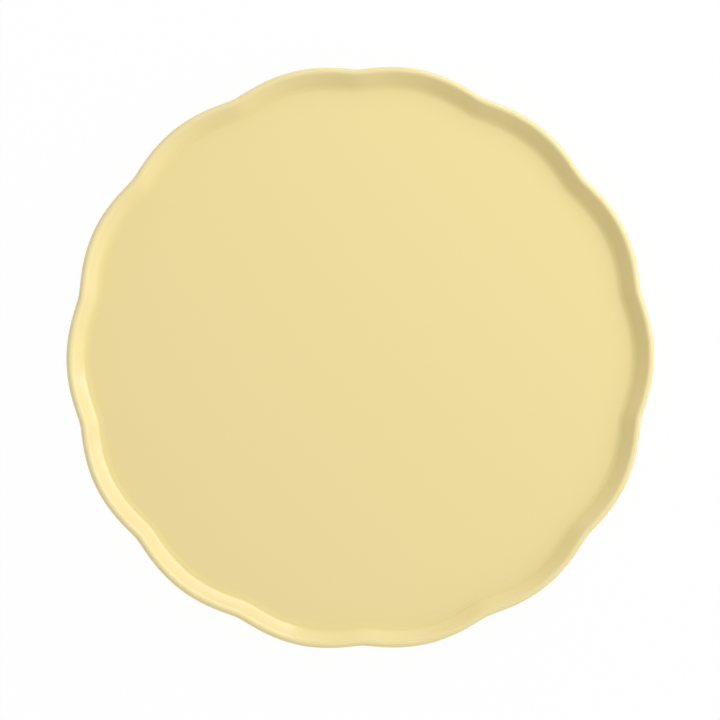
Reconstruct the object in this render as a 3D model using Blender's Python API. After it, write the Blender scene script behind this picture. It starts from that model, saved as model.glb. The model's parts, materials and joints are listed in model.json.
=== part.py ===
# Round serving platter with a flat floor and a low scalloped rim, in glazed stoneware.
# The clay body stands on two foot rings. One coat of glaze covers its face, rim and outside,
# and two smaller coats cover the base inside the rings, so only the rings' feet are bare clay.
# Metres, +Z up, standing on z = 0 with the origin at the middle of the footprint.

from math import atan2, cos, pi, radians, sin, sqrt, tan

import bmesh
import bpy

# Outline of the rim, seen from above
RIM_DIAMETER = 0.305  # over two opposite scallop crests
SCALLOP_COUNT = 14
SCALLOP_DEPTH = 0.0031  # from the crests in to the notches
NOTCH_SOFTNESS = 0.15  # 0 would make each notch a sharp crease

# Section through the rim and the floor, measured over the glaze
WELL_DEPTH = 0.006  # top of the lip down to the floor
WALL_SLOPE = radians(44)  # of the rim's wall, from level
LIP_RADIUS = 0.0022
COVE_RADIUS = 0.0078  # where the wall runs into the floor
FLOOR_THICKNESS = 0.0065
BELLY_RADIUS = 0.008  # where the outside turns under

# Foot rings, measured over the glaze
OUTER_FOOT_DIAMETER = 0.242
INNER_FOOT_DIAMETER = 0.108
FOOT_WIDTH = 0.0056
FOOT_HEIGHT = 0.0035
FOOT_FILLET = 0.001  # where a ring's side meets the base
FOOT_EDGE_RADIUS = 0.0006  # on the bare clay at the table
DRY_FOOT_HEIGHT = 0.0012  # of bare clay, below the edge of the glaze

# Glaze
GLAZE_THICKNESS = 0.0005
BOND_GAP = 0.0003  # between glaze and clay

# Fineness of the mesh
SEGMENTS_PER_SCALLOP = 6
LIP_STEPS = 2  # on each of the lip's three arcs
COVE_STEPS = 4
BELLY_STEPS = 3
FILLET_STEPS = 1
EDGE_STEPS = 1
CREASE_ANGLE = radians(40)  # sharper edges stay crisp
MERGE_DISTANCE = 1e-6

# Places that follow from the sizes above. Radii are taken at the crests.
FLOOR_Z = FOOT_HEIGHT + FLOOR_THICKNESS
LIP_CENTRE_Z = FLOOR_Z + WELL_DEPTH - LIP_RADIUS
LIP_CENTRE_R = RIM_DIAMETER / 2 - LIP_RADIUS
WALL_RISE = WELL_DEPTH - (LIP_RADIUS + COVE_RADIUS) * (1 - cos(WALL_SLOPE))
WALL_RUN = WALL_RISE / tan(WALL_SLOPE)
COVE_CENTRE_R = LIP_CENTRE_R - (LIP_RADIUS + COVE_RADIUS) * sin(WALL_SLOPE) - WALL_RUN
COVE_CENTRE_Z = FLOOR_Z + COVE_RADIUS
BELLY_CENTRE_Z = FOOT_HEIGHT + BELLY_RADIUS
BELLY_DROP = (LIP_CENTRE_Z - BELLY_CENTRE_Z) * cos(WALL_SLOPE)
BELLY_CENTRE_R = LIP_CENTRE_R - (BELLY_RADIUS - LIP_RADIUS + BELLY_DROP) / sin(WALL_SLOPE)
CLAY_INSET = GLAZE_THICKNESS + BOND_GAP

# The scallops are full from the start of the rim outwards and die out towards the outer foot ring.
SCALLOP_END_R = OUTER_FOOT_DIAMETER / 2 + FOOT_FILLET
SCALLOP_START_R = min(COVE_CENTRE_R, BELLY_CENTRE_R)


def scallop_wave(angle):
    # 1 on a crest and 0 in a notch
    ripple = cos(SCALLOP_COUNT * angle / 2)
    crest = sqrt(1 + NOTCH_SOFTNESS**2) - NOTCH_SOFTNESS
    return (sqrt(ripple**2 + NOTCH_SOFTNESS**2) - NOTCH_SOFTNESS) / crest


def scallop_share(radius):
    share = (radius - SCALLOP_END_R) / (SCALLOP_START_R - SCALLOP_END_R)
    return min(max(share, 0), 1)


def arc(centre_r, centre_z, radius, start, end, steps):
    angles = [start + (end - start) * i / steps for i in range(steps + 1)]
    return [(centre_r + radius * cos(a), centre_z + radius * sin(a)) for a in angles]


def face_line(inset):
    # From the middle of the floor out over the lip, down the outside and under to the outer foot ring
    floor = [(0, FLOOR_Z - inset)]
    cove = arc(COVE_CENTRE_R, COVE_CENTRE_Z, COVE_RADIUS + inset, -pi / 2, WALL_SLOPE - pi / 2, COVE_STEPS)
    lip = lip_arc(WALL_SLOPE + pi / 2, pi / 2, inset)[:-1]
    lip += lip_arc(pi / 2, 0, inset)[:-1]
    lip += lip_arc(0, WALL_SLOPE - pi / 2, inset)
    belly = arc(BELLY_CENTRE_R, BELLY_CENTRE_Z, BELLY_RADIUS - inset, WALL_SLOPE - pi / 2, -pi / 2, BELLY_STEPS)
    return floor + cove + lip + belly + foot_side(OUTER_FOOT_DIAMETER / 2, 1, inset)


def lip_arc(start, end, inset):
    return arc(LIP_CENTRE_R, LIP_CENTRE_Z, LIP_RADIUS - inset, start, end, LIP_STEPS)


def foot_side(side_r, outward, inset):
    # From the base into a foot ring's side and down to the edge of the glaze.
    # outward is 1 on the ring's outer side and -1 on its inner side.
    fillet_r = side_r + outward * FOOT_FILLET
    towards_base = pi / 2
    towards_ring = pi if outward == 1 else 0
    fillet = arc(
        fillet_r, FOOT_HEIGHT - FOOT_FILLET, FOOT_FILLET + inset, towards_base, towards_ring, FILLET_STEPS
    )
    return fillet + [(side_r - outward * inset, DRY_FOOT_HEIGHT)]


def band_line(inset):
    # Over the base from the outer foot ring's inner side to the inner foot ring's outer side
    from_outer = foot_side(OUTER_FOOT_DIAMETER / 2 - FOOT_WIDTH, -1, inset)
    to_inner = foot_side(INNER_FOOT_DIAMETER / 2, 1, inset)
    return from_outer[::-1] + to_inner


def disc_line(inset):
    # Over the base from the middle to the inner foot ring's inner side
    to_ring = foot_side(INNER_FOOT_DIAMETER / 2 - FOOT_WIDTH, -1, inset)
    return [(0, FOOT_HEIGHT + inset)] + to_ring


def bare_foot(foot_diameter):
    # The clay below the edge of the glaze, from a ring's outer side to its inner side
    outer_r = foot_diameter / 2 - CLAY_INSET
    inner_r = foot_diameter / 2 - FOOT_WIDTH + CLAY_INSET
    edge = FOOT_EDGE_RADIUS
    outer_edge = arc(outer_r - edge, edge, edge, 0, -pi / 2, EDGE_STEPS)
    inner_edge = arc(inner_r + edge, edge, edge, -pi / 2, -pi, EDGE_STEPS)
    return outer_edge + inner_edge


def coat_section(line):
    # A coat of glaze between its own surface and the bond to the clay
    return line(0) + line(GLAZE_THICKNESS)[::-1]


def body_section():
    return (
        face_line(CLAY_INSET)
        + bare_foot(OUTER_FOOT_DIAMETER)
        + band_line(CLAY_INSET)
        + bare_foot(INNER_FOOT_DIAMETER)
        + disc_line(CLAY_INSET)[::-1]
    )


def finish(name, colour, roughness):
    material = bpy.data.materials.new(name)
    material.use_nodes = True
    shader = material.node_tree.nodes["Principled BSDF"]
    shader.inputs["Base Color"].default_value = (*colour, 1)
    shader.inputs["Roughness"].default_value = roughness
    shader.inputs["Metallic"].default_value = 0
    return material


def turned(name, section, material):
    # Spins a section round the Z axis and draws the rim in between the scallop crests
    shape = bmesh.new()
    points = [shape.verts.new((r, 0, z)) for r, z in section]
    on_axis = section[0][0] == 0 and section[-1][0] == 0
    ends = points[1:] if on_axis else points[1:] + points[:1]
    edges = [shape.edges.new(pair) for pair in zip(points, ends)]
    bmesh.ops.spin(
        shape,
        geom=points + edges,
        axis=(0, 0, 1),
        cent=(0, 0, 0),
        angle=2 * pi,
        steps=SCALLOP_COUNT * SEGMENTS_PER_SCALLOP,
        use_merge=True,
    )
    bmesh.ops.remove_doubles(shape, verts=shape.verts, dist=MERGE_DISTANCE)
    for vertex in shape.verts:
        draw_in(vertex)
    bmesh.ops.recalc_face_normals(shape, faces=shape.faces)
    mesh = bpy.data.meshes.new(name)
    shape.to_mesh(mesh)
    shape.free()
    mesh.shade_smooth()
    mesh.set_sharp_from_angle(angle=CREASE_ANGLE)
    mesh.materials.append(material)
    piece = bpy.data.objects.new(name, mesh)
    bpy.context.scene.collection.objects.link(piece)
    return piece


def draw_in(vertex):
    radius = vertex.co.xy.length
    if radius == 0:
        return
    angle = atan2(vertex.co.y, vertex.co.x)
    wanted = radius - scallop_share(radius) * SCALLOP_DEPTH * (1 - scallop_wave(angle))
    vertex.co.xy *= wanted / radius


for leftover in list(bpy.data.objects):
    bpy.data.objects.remove(leftover)

clay = finish("bare_stoneware", (0.62, 0.5, 0.36), 0.85)
glaze = finish("pale_yellow_glaze", (0.86, 0.72, 0.34), 0.15)

turned("stoneware_body", body_section(), clay)
turned("glaze_coat", coat_section(face_line), glaze)
turned("base_glaze_band", coat_section(band_line), glaze)
turned("base_glaze_disc", coat_section(disc_line), glaze)
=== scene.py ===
import json
import math

import bmesh
import bpy
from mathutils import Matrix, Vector


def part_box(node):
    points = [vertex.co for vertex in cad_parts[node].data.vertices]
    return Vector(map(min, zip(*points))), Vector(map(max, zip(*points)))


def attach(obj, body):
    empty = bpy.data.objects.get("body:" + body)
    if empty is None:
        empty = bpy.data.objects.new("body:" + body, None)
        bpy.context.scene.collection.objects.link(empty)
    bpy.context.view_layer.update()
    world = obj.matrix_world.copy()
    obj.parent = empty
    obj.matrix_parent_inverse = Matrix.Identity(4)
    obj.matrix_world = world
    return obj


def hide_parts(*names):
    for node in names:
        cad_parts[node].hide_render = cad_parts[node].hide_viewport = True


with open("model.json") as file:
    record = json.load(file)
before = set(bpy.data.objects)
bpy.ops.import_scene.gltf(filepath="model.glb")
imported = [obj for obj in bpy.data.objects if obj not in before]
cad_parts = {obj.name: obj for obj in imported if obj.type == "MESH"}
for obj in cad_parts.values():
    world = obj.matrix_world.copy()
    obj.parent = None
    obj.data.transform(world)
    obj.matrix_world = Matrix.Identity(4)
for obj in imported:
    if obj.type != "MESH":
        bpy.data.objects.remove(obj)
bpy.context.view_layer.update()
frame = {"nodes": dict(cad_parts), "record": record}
print("frame loaded:", ", ".join(sorted(frame["nodes"])))


class Wire:
    # one socket of a node tree, so that maths on it reads as a Python expression

    def __init__(self, tree, socket=None):
        self.tree = tree
        self.socket = socket

    def node(self, kind, settings=None, sockets=None, output=0):
        made = self.tree.nodes.new(kind)
        for name, value in (settings or {}).items():
            setattr(made, name, value)
        for name, value in (sockets or {}).items():
            if isinstance(value, Wire):
                self.tree.links.new(value.socket, made.inputs[name])
            else:
                made.inputs[name].default_value = value
        return Wire(self.tree, made.outputs[output] if made.outputs else None)

    def part(self, name):
        return Wire(self.tree, self.socket.node.outputs[name])  # another output of the same node

    def maths(self, operation, *values):
        return self.node("ShaderNodeMath", {"operation": operation}, dict(enumerate(values)))

    def eased(self, start, end, low=0, high=1):
        # runs smoothly from low to high as the value goes from start to end
        sockets = {"Value": self, "From Min": start, "From Max": end, "To Min": low, "To Max": high}
        return self.node("ShaderNodeMapRange", {"interpolation_type": "SMOOTHSTEP"}, sockets)

    def blended(self, first, second):
        # first where the value is 0, second where it is 1
        sockets = {"Factor": self, 6: first, 7: second}
        return self.node("ShaderNodeMix", {"data_type": "RGBA"}, sockets, output=2)

    def __add__(self, other):
        return self.maths("ADD", self, other)

    def __sub__(self, other):
        return self.maths("SUBTRACT", self, other)

    def __rsub__(self, other):
        return self.maths("SUBTRACT", other, self)

    def __mul__(self, other):
        return self.maths("MULTIPLY", self, other)

    def __truediv__(self, other):
        return self.maths("DIVIDE", self, other)

    __radd__ = __add__
    __rmul__ = __mul__


# Sizes of the platter: what the frame states is read from it, the rest is the section's own shape

rim = {
    "scallops": 14,
    "stepsPerScallop": 32,  # fineness of the mesh round the rim
    "scallopDepth": 0.0031,  # crest in to notch
    "notchSoftness": 0.15,
    "wallSlope": math.radians(40.6),
    "wallHollow": math.radians(1),  # steeper than that under the lip, and less steep by the cove
    "outerSlope": math.radians(44),
    "lipRadius": 0.0021,
    "coveRadius": 0.0065,  # where the wall runs into the floor
    "bellyRadius": 0.008,  # where the outside turns under
    # slow waves of the hand-finished outline, each outermost at an azimuth of its own
    "sways": (
        {"lobes": 2, "size": 0.00024, "towards": math.radians(-34)},
        {"lobes": 5, "size": 0.00017, "towards": math.radians(10)},
        {"lobes": 6, "size": 0.00023, "towards": math.radians(22)},
    ),
    "handwork": 1.0,  # share of those waves, 0 for a regular rim
    "lift": 0.00008,  # unevenness of its height
    "liftScale": 1.6,  # a larger scale makes more ups and downs
    "seed": 4,
}
foot = {
    "width": 0.0056,  # of a ring, over the glaze
    "fillet": 0.001,
    "edgeRadius": 0.0006,
}
glaze = {
    "thickness": 0.0005,
    "bond": 0.00002,  # the clay lies this far under it
    "edgeWander": 0.00018,  # of the dry line on the feet, up and down
    "wanderScale": 12,
}

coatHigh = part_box("glaze_coat")[1]
bandLow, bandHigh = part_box("base_glaze_band")
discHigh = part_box("base_glaze_disc")[1]
mounts = {mount["name"]: mount for mount in frame["record"]["mounts"]}

rimRadius = coatHigh.x
lipTop = coatHigh.z
floorZ = mounts["serving_floor"]["pos_m"][2]
baseZ = bandHigh.z - glaze["thickness"]
dryLine = bandLow.z
outerFootInside = bandHigh.x - glaze["thickness"]
innerFootInside = discHigh.x - glaze["thickness"]
outerFootRadius = outerFootInside + foot["width"]
innerFootRadius = innerFootInside + foot["width"]
clayInset = glaze["thickness"] + glaze["bond"]

slope = rim["wallSlope"]
lipR = rimRadius - rim["lipRadius"]
lipZ = lipTop - rim["lipRadius"]
rounding = rim["lipRadius"] + rim["coveRadius"]
wallRise = lipTop - floorZ - rounding * (1 - math.cos(slope))
coveR = lipR - rounding * math.sin(slope) - wallRise / math.tan(slope)
bellyZ = baseZ + rim["bellyRadius"]
outer = rim["outerSlope"]
bellyReach = rim["bellyRadius"] - rim["lipRadius"] + (lipZ - bellyZ) * math.cos(outer)
bellyR = lipR - bellyReach / math.sin(outer)

# the wall is a little hollow between lip and cove: an arc from the upper slope to the lower one
upper, lower = slope + rim["wallHollow"], slope - rim["wallHollow"]
wallTop = rim["lipRadius"] * (1 + math.sin(upper))  # wallTop and wallFoot lie this far in from the edge
wallDrop, coveDrop = math.tan(slope), math.tan(lower / 2)
left = lipTop - floorZ - rim["lipRadius"] * (1 - math.cos(upper)) - (rimRadius - coveR) * coveDrop
wallFoot = (left + wallTop * wallDrop) / (wallDrop - coveDrop)
wallRadius = (wallFoot - wallTop) / (math.sin(lower) - math.sin(upper))
wallR = lipR + (wallRadius - rim["lipRadius"]) * math.sin(upper)
wallZ = lipZ - (wallRadius - rim["lipRadius"]) * math.cos(upper)
coveRadius = (rimRadius - coveR - wallFoot) / math.sin(lower)
scallopEnd = outerFootRadius + foot["fillet"]  # the scallops die out here
scallopStart = min(coveR, bellyR)  # and are full from here outwards
print(f"well {1000 * (lipTop - floorZ):.1f} mm deep, floor from {1000 * coveR:.1f} mm inwards")


# Section lines: lists of (radius, height), with more points where fine is larger

def arc(centreR, centreZ, radius, start, end, steps):
    turns = [start + (end - start) * i / steps for i in range(steps + 1)]
    return [(centreR + radius * math.cos(turn), centreZ + radius * math.sin(turn)) for turn in turns]


def between(start, end, steps):
    # the points between two ends, without the ends
    shares = [i / steps for i in range(1, steps)]
    return [(start[0] + (end[0] - start[0]) * s, start[1] + (end[1] - start[1]) * s) for s in shares]


def flatBetween(start, end, steps, margin=0.0004):
    # the same, with a close row at each end so that a flat face stays flat beside a curve
    towards = math.copysign(margin, end[0] - start[0])
    near = (start[0] + towards, start[1])
    far = (end[0] - towards, end[1])
    return [near] + between(near, far, steps) + [far]


def footSide(sideR, outward, inset, fine):
    # from the base into a foot ring's side and down to the edge of the glaze
    ringward = math.pi if outward == 1 else 0
    filletR = sideR + outward * foot["fillet"]
    fillet = arc(filletR, baseZ - foot["fillet"], foot["fillet"] + inset, math.pi / 2, ringward, 4 * fine)
    bottom = (sideR - outward * inset, dryLine)
    return fillet + between(fillet[-1], bottom, 3) + [bottom]


def faceLine(inset, fine):
    # from the middle of the floor over the lip, down the outside and under to the outer foot ring
    middle = (0, floorZ - inset)
    across = math.pi / 2
    cove = arc(coveR, floorZ + coveRadius, coveRadius + inset, -across, lower - across, 8 * fine)
    wall = arc(wallR, wallZ, wallRadius - inset, lower + across, upper + across, 4 * fine)[1:-1]
    lip = arc(lipR, lipZ, rim["lipRadius"] - inset, upper + across, outer - across, 12 * fine)
    belly = arc(bellyR, bellyZ, rim["bellyRadius"] - inset, outer - across, -across, 7 * fine)
    side = footSide(outerFootRadius, 1, inset, fine)
    line = [middle] + flatBetween(middle, cove[0], 8) + cove + wall + lip
    line += between(lip[-1], belly[0], 2 * fine) + belly
    return line + flatBetween(belly[-1], side[0], 5) + side


def bandLine(inset, fine):
    # over the base from the outer foot ring's inner side to the inner foot ring's outer side
    fromOuter = footSide(outerFootInside, -1, inset, fine)[::-1]
    toInner = footSide(innerFootRadius, 1, inset, fine)
    return fromOuter + flatBetween(fromOuter[-1], toInner[0], 8) + toInner


def discLine(inset, fine):
    # over the base from the middle to the inner foot ring's inner side
    middle = (0, baseZ + inset)
    toRing = footSide(innerFootInside, -1, inset, fine)
    return [middle] + flatBetween(middle, toRing[0], 6) + toRing


def glazeEdge(end, outward, steps=6):
    # the rounded edge of a coat, from its surface round to the clay
    radius = glaze["thickness"] / 2
    facing = 0 if outward == 1 else math.pi
    turned = arc(end[0] - outward * radius, end[1], radius, facing, facing - outward * math.pi, steps)
    return turned[1:-1]


def bareFoot(ringRadius):
    # the clay below the edge of the glaze, from a ring's outer side to its inner side
    edge = foot["edgeRadius"]
    outerEdge = arc(ringRadius - clayInset - edge, edge, edge, 0, -math.pi / 2, 5)
    innerEdge = arc(ringRadius - foot["width"] + clayInset + edge, edge, edge, -math.pi / 2, -math.pi, 5)
    return outerEdge + flatBetween(outerEdge[-1], innerEdge[0], 3) + innerEdge


def coatSection():
    surface = faceLine(0, 2)
    return surface + glazeEdge(surface[-1], 1) + faceLine(glaze["thickness"], 1)[::-1]


def bandSection():
    surface = bandLine(0, 2)
    line = glazeEdge(surface[0], -1)[::-1] + surface + glazeEdge(surface[-1], 1)
    line += bandLine(glaze["thickness"], 1)[::-1]
    return line + line[:1]


def discSection():
    surface = discLine(0, 2)
    return surface + glazeEdge(surface[-1], -1) + discLine(glaze["thickness"], 1)[::-1]


def claySection():
    line = faceLine(clayInset, 1) + bareFoot(outerFootRadius) + bandLine(clayInset, 1)
    return line + bareFoot(innerFootRadius) + discLine(clayInset, 1)[::-1]


# Geometry Nodes: turns a section round Z and draws the rim in between its scallop crests

latheInputs = {
    "Section": "NodeSocketGeometry",
    "Rings": "NodeSocketInt",
    "Scallops": "NodeSocketInt",
    "Depth": "NodeSocketFloat",
    "Softness": "NodeSocketFloat",
    "Handwork": "NodeSocketFloat",
    "Lift": "NodeSocketFloat",
    "Wander": "NodeSocketFloat",
    "Seed": "NodeSocketFloat",
    "Finish": "NodeSocketMaterial",
}


def handSway(tree, turn, sway):
    return tree.maths("COSINE", (turn - sway["towards"]) * sway["lobes"]) * sway["size"]


def scallopLathe():
    tree = bpy.data.node_groups.new("scallopLathe", "GeometryNodeTree")
    for name, kind in latheInputs.items():
        tree.interface.new_socket(name, in_out="INPUT", socket_type=kind)
    tree.interface.new_socket("Turned", in_out="OUTPUT", socket_type="NodeSocketGeometry")

    given = Wire(tree).node("NodeGroupInput")
    section, rings, seed = given.part("Section"), given.part("Rings"), given.part("Seed")

    # a grid with a row for each point of the section and a column for each step round
    count = given.node("GeometryNodeAttributeDomainSize", {"component": "MESH"}, {"Geometry": section})
    sizes = {"Size X": count - 1, "Size Y": rings, "Vertices X": count, "Vertices Y": rings + 1}
    grid = given.node("GeometryNodeMeshGrid", sockets=sizes)
    cell = given.node("ShaderNodeSeparateXYZ", sockets={0: given.node("GeometryNodeInputPosition")})
    index = given.maths("ROUND", cell.part("X") + (count - 1) / 2)
    turn = (cell.part("Y") / rings + 0.5) * (2 * math.pi)
    across, along = given.maths("COSINE", turn), given.maths("SINE", turn)

    def ofSection(kind, value):
        sockets = {"Geometry": section, "Value": value, "Index": index}
        return given.node("GeometryNodeSampleIndex", {"data_type": kind, "domain": "POINT"}, sockets)

    def attribute(name):
        return ofSection("FLOAT", given.node("GeometryNodeInputNamedAttribute", sockets={"Name": name}))

    def wandering(offset, scale):
        # between -1 and 1, and the same at both ends of the turn
        around = given.node("ShaderNodeCombineXYZ", sockets={"X": across, "Y": along})
        sockets = {"Vector": around, "W": seed + offset, "Scale": scale}
        return given.node("ShaderNodeTexNoise", {"noise_dimensions": "4D"}, sockets) * 2 - 1

    place = ofSection("FLOAT_VECTOR", given.node("GeometryNodeInputPosition"))
    place = given.node("ShaderNodeSeparateXYZ", sockets={0: place})
    share, dry = attribute("share"), attribute("dry")

    # the outline: rounded scallops between soft notches
    soft = given.part("Softness")
    ripple = given.maths("COSINE", turn * given.part("Scallops") / 2)
    wave = given.maths("SQRT", ripple * ripple + soft * soft) - soft
    wave = wave / (given.maths("SQRT", soft * soft + 1) - soft)  # 1 on a crest and 0 in a notch
    made = sum(handSway(given, turn, sway) for sway in rim["sways"]) * given.part("Handwork")
    radius = place.part("X") - share * given.part("Depth") * (1 - wave) + share * made
    lift = share * given.part("Lift") * wandering(9, rim["liftScale"])
    height = place.part("Z") + lift + dry * given.part("Wander") * wandering(17, glaze["wanderScale"])
    spot = {"X": radius * across, "Y": radius * along, "Z": height}
    spot = given.node("ShaderNodeCombineXYZ", sockets=spot)

    # each point keeps its radius in the section, which the glaze follows round the scallops
    reach = {"Geometry": grid, "Name": "reach", "Value": place.part("X")}
    turned = given.node("GeometryNodeStoreNamedAttribute", {"domain": "POINT"}, reach)
    turned = given.node("GeometryNodeSetPosition", sockets={"Geometry": turned, "Position": spot})
    turned = given.node("GeometryNodeMergeByDistance", sockets={"Geometry": turned, "Distance": 2e-6})
    turned = given.node("GeometryNodeSetShadeSmooth", sockets={"Geometry": turned})
    turned = given.node("GeometryNodeRealizeInstances", sockets={"Geometry": turned})
    finish = {"Geometry": turned, "Material": given.part("Finish")}
    turned = given.node("GeometryNodeSetMaterial", sockets=finish)
    given.node("NodeGroupOutput", sockets={"Turned": turned})
    return tree


lathe = scallopLathe()
print("lathe tree ready")


def scallopShare(radius):
    return min(max((radius - scallopEnd) / (scallopStart - scallopEnd), 0), 1)


def dryShare(height):
    # 1 at the edge of the glaze on a foot ring, 0 further up its side and on the bare clay
    return max(1 - abs(height - dryLine) / (0.6 * (baseZ - dryLine)), 0)


def turnedPiece(name, section, finish, rings, wander):
    outline = bpy.data.meshes.new(name + "Section")
    steps = [(i, i + 1) for i in range(len(section) - 1)]
    outline.from_pydata([(radius, 0, height) for radius, height in section], steps, [])
    shares = outline.attributes.new("share", "FLOAT", "POINT")
    shares.data.foreach_set("value", [scallopShare(radius) for radius, height in section])
    dryness = outline.attributes.new("dry", "FLOAT", "POINT")
    dryness.data.foreach_set("value", [dryShare(height) for radius, height in section])
    piece = bpy.data.objects.new(name, outline)
    bpy.context.scene.collection.objects.link(piece)

    settings = {
        "Rings": rings,
        "Scallops": rim["scallops"],
        "Depth": rim["scallopDepth"],
        "Softness": rim["notchSoftness"],
        "Handwork": rim["handwork"],
        "Lift": rim["lift"],
        "Wander": wander,
        "Seed": float(rim["seed"]),
        "Finish": finish,
    }
    turning = piece.modifiers.new("turning", "NODES")
    turning.node_group = lathe
    for socket in lathe.interface.items_tree:
        if socket.name in settings:
            turning[socket.identifier] = settings[socket.name]
    evaluated = piece.evaluated_get(bpy.context.evaluated_depsgraph_get())
    mesh = bpy.data.meshes.new_from_object(evaluated)
    mesh.name = name
    piece.modifiers.remove(turning)
    piece.data = mesh
    bpy.data.meshes.remove(outline)

    shape = bmesh.new()
    shape.from_mesh(mesh)
    bmesh.ops.recalc_face_normals(shape, faces=shape.faces)
    openEdges = sum(not edge.is_manifold for edge in shape.edges)
    shape.to_mesh(mesh)
    shape.free()
    print(f"{name}: {len(mesh.vertices)} points, {len(mesh.polygons)} faces, {openEdges} open edges")
    return piece


# Finishes

glazeLook = {
    "colour": (0.845, 0.700, 0.307, 1),
    "thinColour": (0.875, 0.757, 0.412, 1),  # over the lip, where the glaze runs thin
    "thinShare": 0.5,
    "thinHeight": 0.0016,  # from the top of the lip down
    "pooledColour": (0.818, 0.674, 0.267, 1),  # deeper yellow low in the cove
    "pooledShare": 0.2,
    "pooledReach": 0.005,  # from the cove in over the floor
    "pooledHeight": 0.003,  # from the floor up the wall
    "roughness": 0.1,
    "index": 1.5,
    "cloudScale": 11,  # soft, wide changes of tone
    "mottleScale": 160,  # and fine ones
    "rippleScales": (75, 420),  # of its surface
    "rippleStrength": 0.05,
}


def shaderTree(name):
    material = bpy.data.materials.new(name)
    material.use_nodes = True
    material.node_tree.nodes.clear()
    return material, Wire(material.node_tree)


def noise(tree, place, scale, detail=2, roughness=0.5):
    sockets = {"Vector": place, "Scale": scale, "Detail": detail, "Roughness": roughness}
    return tree.node("ShaderNodeTexNoise", sockets=sockets)


def glazeFinish():
    material, tree = shaderTree("paleYellowGlaze")
    place = tree.node("ShaderNodeTexCoord", output="Object")
    axes = tree.node("ShaderNodeSeparateXYZ", sockets={0: place})
    reach = tree.node("ShaderNodeAttribute", {"attribute_name": "reach"}, output="Fac")

    cloud = noise(tree, place, glazeLook["cloudScale"], 3)
    mottle = noise(tree, place, glazeLook["mottleScale"], 3)
    thin = axes.part("Z").eased(lipTop - glazeLook["thinHeight"], lipTop, 0, glazeLook["thinShare"])
    # a deeper yellow low in the cove, fading out inwards over the floor and upwards on the wall
    low = axes.part("Z").eased(floorZ + glazeLook["pooledHeight"], floorZ + 0.0005)
    deeperCove = reach.eased(coveR - glazeLook["pooledReach"], coveR) * low * glazeLook["pooledShare"]
    tone = (cloud - 0.5) * 0.1 + (mottle - 0.5) * 0.08

    colour = (deeperCove + tone).blended(glazeLook["colour"], glazeLook["pooledColour"])
    colour = (thin + tone * 0.3).blended(colour, glazeLook["thinColour"])
    roughness = glazeLook["roughness"] + (mottle - 0.5) * 0.04 + (cloud - 0.5) * 0.03
    wide, fine = glazeLook["rippleScales"]
    ripple = noise(tree, place, wide, 1) * 0.6 + noise(tree, place, fine, 1) * 0.4
    bumpSockets = {"Strength": glazeLook["rippleStrength"], "Distance": 0.0005, "Height": ripple}
    surface = tree.node(
        "ShaderNodeBsdfPrincipled",
        sockets={
            "Base Color": colour,
            "Roughness": roughness,
            "IOR": glazeLook["index"],
            "Normal": tree.node("ShaderNodeBump", sockets=bumpSockets),
        },
    )
    tree.node("ShaderNodeOutputMaterial", sockets={"Surface": surface})
    return material


clayLook = {
    "colour": (0.60, 0.47, 0.33, 1),
    "darkColour": (0.47, 0.35, 0.24, 1),
    "grogColour": (0.75, 0.66, 0.53, 1),
    "scuffColour": (0.40, 0.36, 0.31, 1),  # worn grey on the feet
    "roughness": 0.86,
}


def clayFinish():
    material, tree = shaderTree("bareStoneware")
    place = tree.node("ShaderNodeTexCoord", output="Object")
    axes = tree.node("ShaderNodeSeparateXYZ", sockets={0: place})
    cloud = noise(tree, place, 60, 3)
    grain = noise(tree, place, 1500, 3, 0.65)
    specks = tree.node("ShaderNodeTexVoronoi", sockets={"Vector": place, "Scale": 900}, output="Distance")
    grog = specks.eased(0.22, 0.12)
    worn = axes.part("Z").eased(0.00035, 0) * noise(tree, place, 240, 4, 0.7).eased(0.45, 0.7)

    colour = (cloud * 0.5 + grain * 0.6 - 0.1).blended(clayLook["colour"], clayLook["darkColour"])
    colour = (grog * 0.7).blended(colour, clayLook["grogColour"])
    colour = (worn * 0.6).blended(colour, clayLook["scuffColour"])
    roughness = clayLook["roughness"] + (grain - 0.5) * 0.15 - worn * 0.2
    bumpSockets = {"Strength": 0.5, "Distance": 0.0002, "Height": grain - grog * 0.2}
    surface = tree.node(
        "ShaderNodeBsdfPrincipled",
        sockets={
            "Base Color": colour,
            "Roughness": roughness,
            "Normal": tree.node("ShaderNodeBump", sockets=bumpSockets),
        },
    )
    tree.node("ShaderNodeOutputMaterial", sockets={"Surface": surface})
    return material


glazed = glazeFinish()
bareClay = clayFinish()
print("finishes ready")

# Pieces, each over its own solid

rings = rim["scallops"] * rim["stepsPerScallop"]
pieces = (
    ("clayBody", claySection(), bareClay, 0, "stoneware_body", "stoneware"),
    ("glazeCoat", coatSection(), glazed, glaze["edgeWander"], "glaze_coat", "glaze"),
    ("baseGlazeBand", bandSection(), glazed, glaze["edgeWander"], "base_glaze_band", "glaze"),
    ("baseGlazeDisc", discSection(), glazed, glaze["edgeWander"], "base_glaze_disc", "glaze"),
)
for name, section, finish, wander, node, slot in pieces:
    piece = turnedPiece(name, section, finish, rings, wander)
    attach(piece, "root")
    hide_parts(node)

# Table, camera and light

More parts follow.
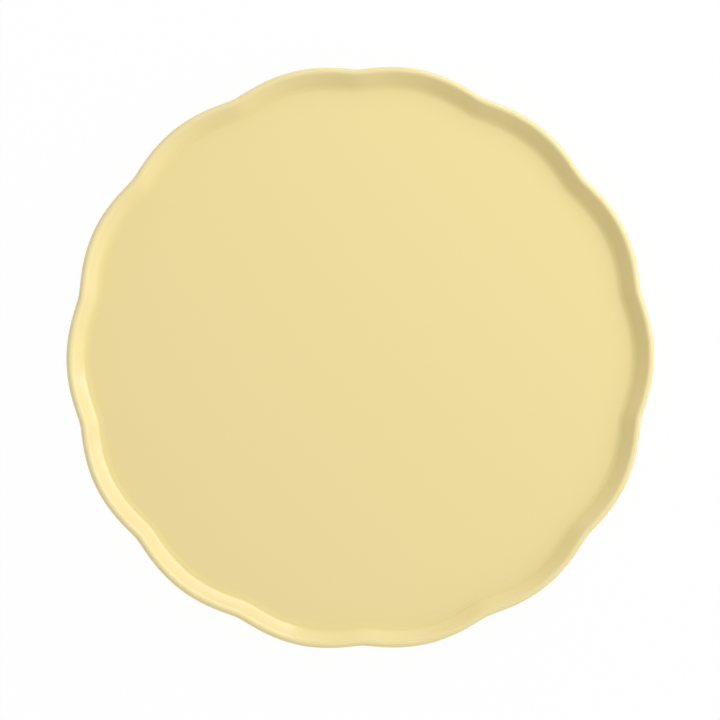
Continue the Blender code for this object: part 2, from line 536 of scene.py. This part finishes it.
view = {
    "lens": 100,
    "sensor": 36,
    "framePixels": 720,
    "platterPixels": 588.2,  # the platter's width over two crests
    "centrePixels": (360.16, 357.73),  # its middle, from the frame's upper left corner
    "turn": math.radians(0.49),  # the crests stand this far round from the frame's sides
}
studio = {
    "table": 3.0,  # half its width
    "tableDrop": 0.0002,  # below the feet
    "tableColour": (0.9, 0.9, 0.9, 1),
    "tableWhite": 0.97,  # share of plain white in what the camera sees
    "keyAzimuth": 40,
    "keyElevation": 34,
    "keyDistance": 1.05,
    "keyWidth": 1.24,
    "keyHeight": 0.446,
    "keyBrightness": 2.83,
    # the room's walls, up to each elevation: brightness, and how far it swings up and down round the room
    "walls": (
        {"top": 14, "mean": 0.8, "swing": 0.65, "lobes": 1, "towards": 215},
        {"top": 20, "mean": 1.35, "swing": 1.15, "lobes": 1, "towards": 25},
        {"top": 28, "mean": 0.6, "swing": 0.7, "lobes": 1, "towards": 30},
        {"top": 40, "mean": 0.7, "swing": 0.4, "lobes": 1, "towards": 335},
        {"top": 60, "mean": 0.75, "swing": 0.55, "lobes": 2, "towards": 128},
        {"top": 73, "mean": 0.5, "swing": 0.4, "lobes": 1, "towards": 45},
    ),
    "wallBlend": 0.008,  # a wall fades into the next this far above and below its edge, as a sine
    "ceiling": 1.34,
}


def layTable():
    material, tree = shaderTree("paleTable")
    path = tree.node("ShaderNodeLightPath")
    seen = tree.maths("MAXIMUM", path.part("Is Camera Ray"), path.part("Is Glossy Ray"))
    seen = tree.maths("MAXIMUM", seen, path.part("Is Transmission Ray"))
    lit = tree.node("ShaderNodeBsdfDiffuse", sockets={"Color": studio["tableColour"]})
    white = tree.node("ShaderNodeEmission", sockets={"Color": (1, 1, 1, 1), "Strength": 1})
    surface = tree.node("ShaderNodeMixShader", sockets={0: seen * studio["tableWhite"], 1: lit, 2: white})
    tree.node("ShaderNodeOutputMaterial", sockets={"Surface": surface})
    shape = bmesh.new()
    bmesh.ops.create_circle(shape, cap_ends=True, radius=studio["table"], segments=96)
    mesh = bpy.data.meshes.new("table")
    shape.to_mesh(mesh)
    shape.free()
    mesh.materials.append(material)
    table = bpy.data.objects.new("table", mesh)
    table.location.z = -studio["tableDrop"]
    bpy.context.scene.collection.objects.link(table)


def setCamera():
    camera = bpy.data.cameras.new("overhead")
    camera.lens = view["lens"]
    camera.sensor_width = view["sensor"]
    pixel = 2 * rimRadius / view["platterPixels"]
    distance = view["framePixels"] * pixel * view["lens"] / view["sensor"]
    middle = view["framePixels"] / 2
    offset = Vector((middle - view["centrePixels"][0], view["centrePixels"][1] - middle, 0)) * pixel
    post = bpy.data.objects.new("overhead", camera)
    post.rotation_euler.z = -view["turn"]
    post.location = Vector((0, 0, lipZ + distance)) + post.rotation_euler.to_matrix() @ offset
    bpy.context.scene.collection.objects.link(post)
    bpy.context.scene.camera = post


def hangSoftbox():
    lamp = bpy.data.lights.new("softbox", "AREA")
    lamp.shape = "RECTANGLE"
    lamp.size = studio["keyWidth"]
    lamp.size_y = studio["keyHeight"]
    lamp.energy = studio["keyBrightness"] * math.pi * lamp.size * lamp.size_y
    around, up = math.radians(studio["keyAzimuth"]), math.radians(studio["keyElevation"])
    box = bpy.data.objects.new("softbox", lamp)
    towards = Vector((math.cos(up) * math.cos(around), math.cos(up) * math.sin(around), math.sin(up)))
    box.location = towards * studio["keyDistance"]
    box.rotation_euler = (-towards).to_track_quat("-Z", "Y").to_euler()
    box.visible_camera = False
    bpy.context.scene.collection.objects.link(box)


def lightRoom():
    world = bpy.data.worlds.new("studio")
    world.use_nodes = True
    world.node_tree.nodes.clear()
    tree = Wire(world.node_tree)
    direction = tree.node("ShaderNodeTexCoord", output="Generated")
    axes = tree.node("ShaderNodeSeparateXYZ", sockets={0: direction})
    height = axes.part("Z")
    turn = tree.maths("ARCTAN2", axes.part("Y"), axes.part("X"))

    strength, blend = studio["ceiling"], studio["wallBlend"]
    for wall in reversed(studio["walls"]):
        around = tree.maths("COSINE", (turn - math.radians(wall["towards"])) * wall["lobes"])
        level = tree.maths("MAXIMUM", around * wall["swing"] + wall["mean"], 0)
        edge = math.sin(math.radians(wall["top"]))
        strength = level + height.eased(edge - blend, edge + blend) * (strength - level)
    # behind the table the camera sees plain white, while the walls still light the platter
    seen = tree.node("ShaderNodeLightPath").part("Is Camera Ray")
    strength = strength + seen * (1 - strength)
    light = tree.node("ShaderNodeBackground", sockets={"Color": (1, 1, 1, 1), "Strength": strength})
    tree.node("ShaderNodeOutputWorld", sockets={"Surface": light})
    bpy.context.scene.world = world


layTable()
setCamera()
hangSoftbox()
lightRoom()
bpy.context.scene.view_settings.view_transform = "Standard"
print("table, camera and light ready")
